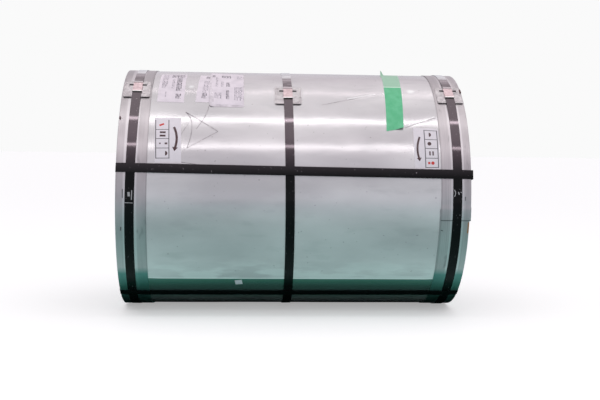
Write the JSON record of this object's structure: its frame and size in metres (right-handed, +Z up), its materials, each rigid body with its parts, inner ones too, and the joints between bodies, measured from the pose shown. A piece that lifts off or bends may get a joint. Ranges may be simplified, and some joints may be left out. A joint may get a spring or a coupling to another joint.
{
  "type": "steel coil",
  "caption": "Wound strip coil in sheet-metal packing with edge protectors, ring straps and straps through its eye.",
  "frame": {"origin": "on the floor, under the middle of the coil as it lies on its side", "axes": "+X along the coil's axis, +Z up, and -Y towards the front with the visible eye strap"},
  "size_m": [1.2348, 0.8876, 0.8879],
  "materials": {
    "strip_steel": "cold-rolled strip edges, wound tight",
    "wrapper_steel": "bright zinc-coated wrapper sheet, slightly dented",
    "protector_steel": "dull zinc-coated sheet, fine lengthwise marks",
    "strap_paint": "black strapping paint, semi-gloss",
    "pad_steel": "bright pressed sheet",
    "seal_steel": "bright crimped sheet"
  },
  "bodies": {
    "root": {"coil": "strip_steel", "wrapper_sheet": "wrapper_steel", "edge_protector_left_upper": "protector_steel", "edge_protector_left_lower": "protector_steel", "edge_protector_right_upper": "protector_steel", "edge_protector_right_lower": "protector_steel", "strap_left": "strap_paint", "strap_centre": "strap_paint", "strap_right": "strap_paint", "pad_left": "pad_steel", "pad_centre": "pad_steel", "pad_right": "pad_steel", "seal_left": "seal_steel", "seal_centre": "seal_steel", "seal_right": "seal_steel", "eye_strap_front": "strap_paint", "eye_strap_low": "strap_paint", "eye_strap_top": "strap_paint", "eye_strap_back": "strap_paint", "eye_seal_front": "seal_steel", "eye_seal_low": "seal_steel", "eye_seal_top": "seal_steel", "eye_seal_back": "seal_steel"}
  },
  "joints": []
}
